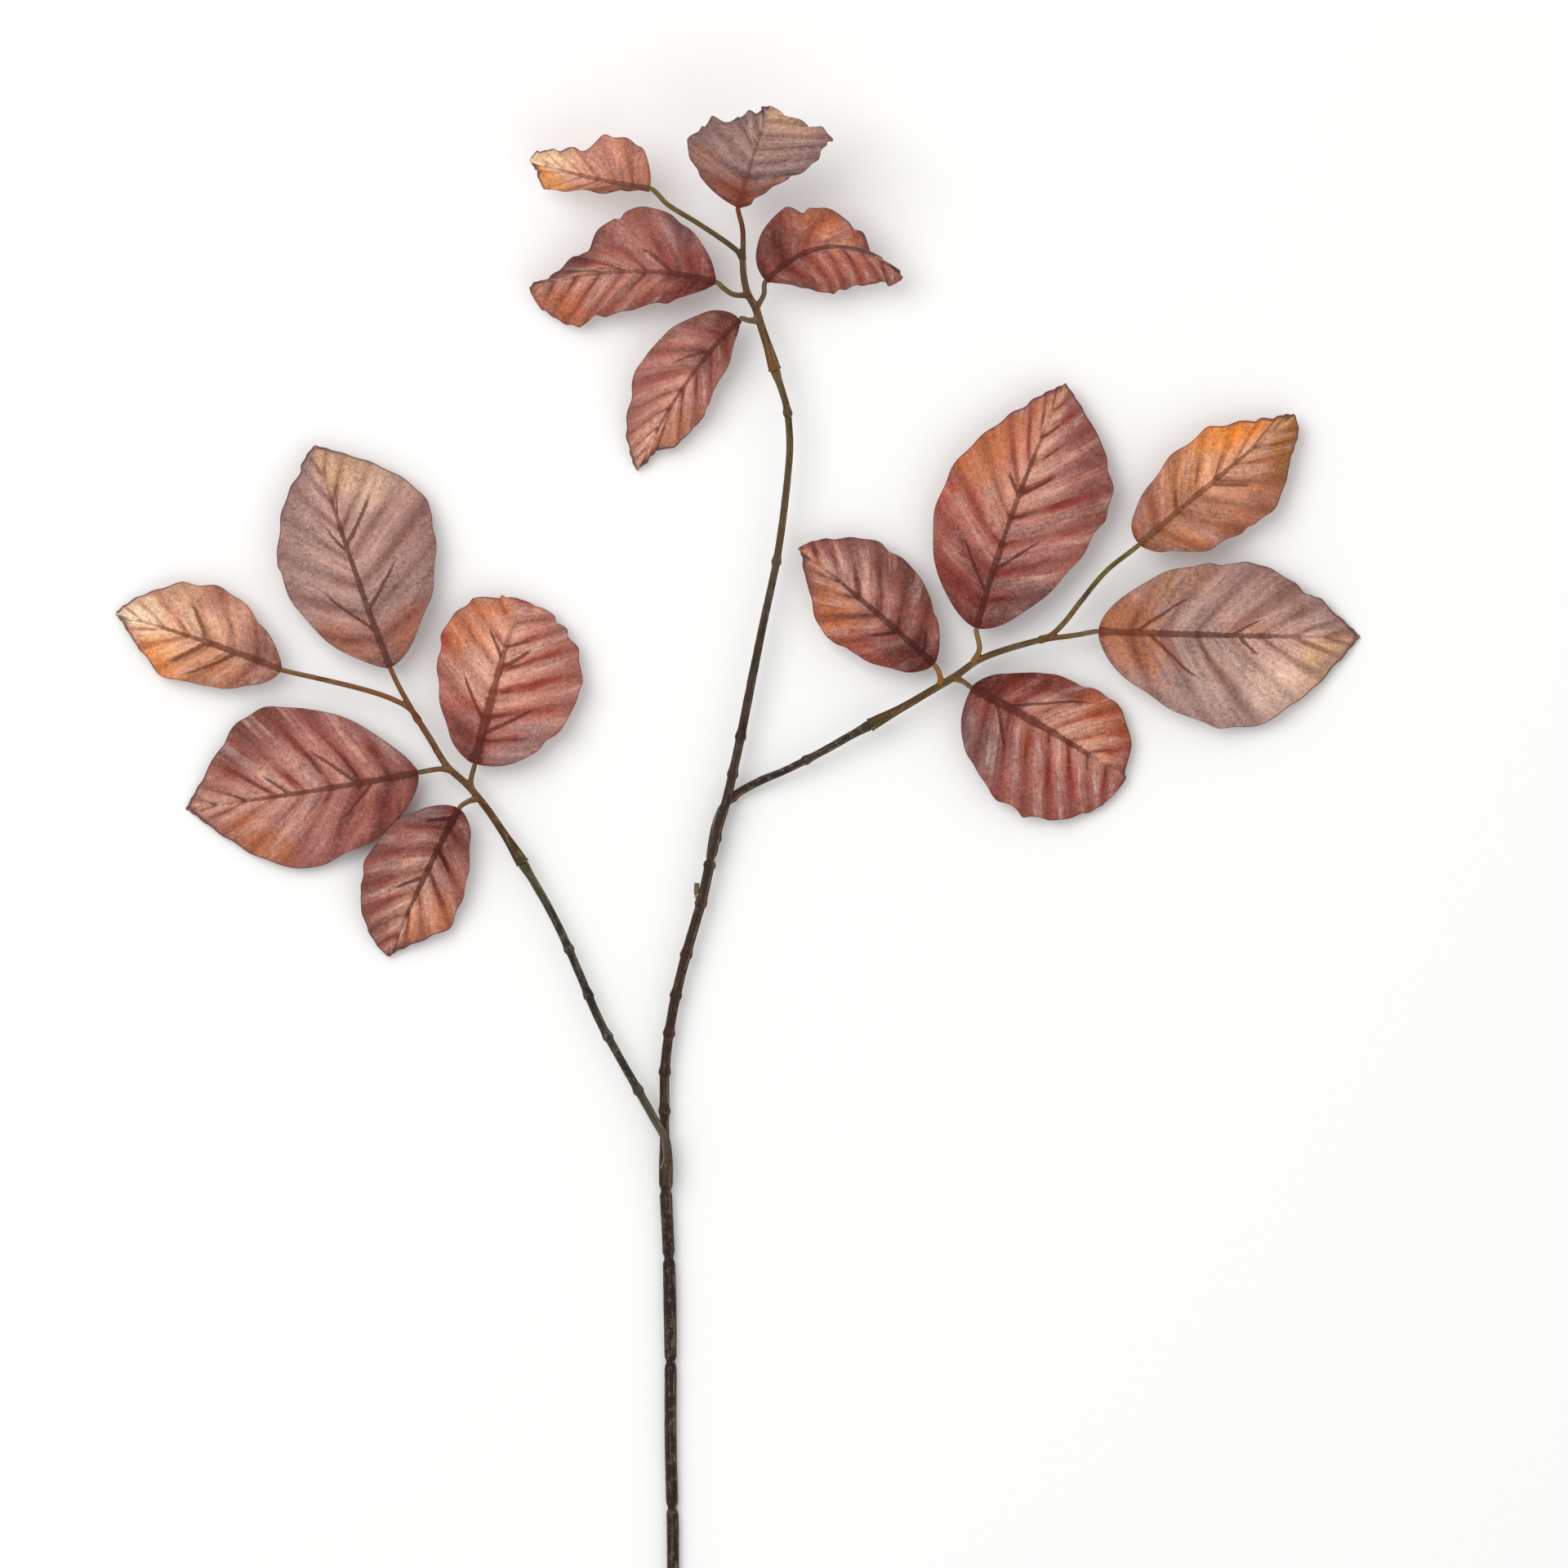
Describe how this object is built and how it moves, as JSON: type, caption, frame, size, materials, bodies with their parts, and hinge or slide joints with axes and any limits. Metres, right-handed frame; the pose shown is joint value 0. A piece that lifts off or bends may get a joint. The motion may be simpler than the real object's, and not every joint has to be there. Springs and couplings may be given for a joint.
{
  "type": "artificial autumn leaf spray",
  "caption": "Spray of pleated fabric autumn leaves on twigs pushed over a long wired plastic stem with two side stems, lying on its back.",
  "frame": {"origin": "middle of the outline seen from the front, on the surface that the spray lies on", "axes": "+Y up the stem towards the top leaves, +X to the right as seen from the front, +Z off the surface towards the front of the leaves"},
  "size_m": [0.5335, 0.7505, 0.0539],
  "materials": {
    "main_stem_plastic": "semi-gloss moulded skin",
    "left_stem_plastic": "semi-gloss moulded skin",
    "right_stem_plastic": "semi-gloss moulded skin",
    "top_twig_plastic": "satin moulding",
    "left_twig_plastic": "satin moulding",
    "right_twig_plastic": "satin moulding",
    "main_wire_steel": "drawn wire",
    "left_wire_steel": "drawn wire",
    "right_wire_steel": "drawn wire",
    "leaf_left_1_fabric": "stiffened, pleated, printed",
    "leaf_left_2_fabric": "stiffened, pleated, printed",
    "leaf_left_3_fabric": "stiffened, pleated, printed",
    "leaf_left_4_fabric": "stiffened, pleated, printed",
    "leaf_left_5_fabric": "stiffened, pleated, printed",
    "leaf_right_1_fabric": "stiffened, pleated, printed",
    "leaf_right_2_fabric": "stiffened, pleated, printed",
    "leaf_right_3_fabric": "stiffened, pleated, printed",
    "leaf_right_4_fabric": "stiffened, pleated, printed",
    "leaf_right_5_fabric": "stiffened, pleated, printed",
    "leaf_top_1_fabric": "stiffened, pleated, printed",
    "leaf_top_2_fabric": "stiffened, pleated, printed",
    "leaf_top_3_fabric": "stiffened, pleated, printed",
    "leaf_top_4_fabric": "stiffened, pleated, printed",
    "leaf_top_5_fabric": "stiffened, pleated, printed"
  },
  "bodies": {
    "root": {"main_stem": "main_stem_plastic", "left_side_stem": "left_stem_plastic", "right_side_stem": "right_stem_plastic", "top_twig": "top_twig_plastic", "left_twig": "left_twig_plastic", "right_twig": "right_twig_plastic", "main_wire": "main_wire_steel", "left_wire": "left_wire_steel", "right_wire": "right_wire_steel", "leaf_left_1": "leaf_left_1_fabric", "leaf_left_2": "leaf_left_2_fabric", "leaf_left_3": "leaf_left_3_fabric", "leaf_left_4": "leaf_left_4_fabric", "leaf_left_5": "leaf_left_5_fabric", "leaf_right_1": "leaf_right_1_fabric", "leaf_right_2": "leaf_right_2_fabric", "leaf_right_3": "leaf_right_3_fabric", "leaf_right_4": "leaf_right_4_fabric", "leaf_right_5": "leaf_right_5_fabric", "leaf_top_1": "leaf_top_1_fabric", "leaf_top_2": "leaf_top_2_fabric", "leaf_top_3": "leaf_top_3_fabric", "leaf_top_4": "leaf_top_4_fabric", "leaf_top_5": "leaf_top_5_fabric"}
  },
  "joints": []
}
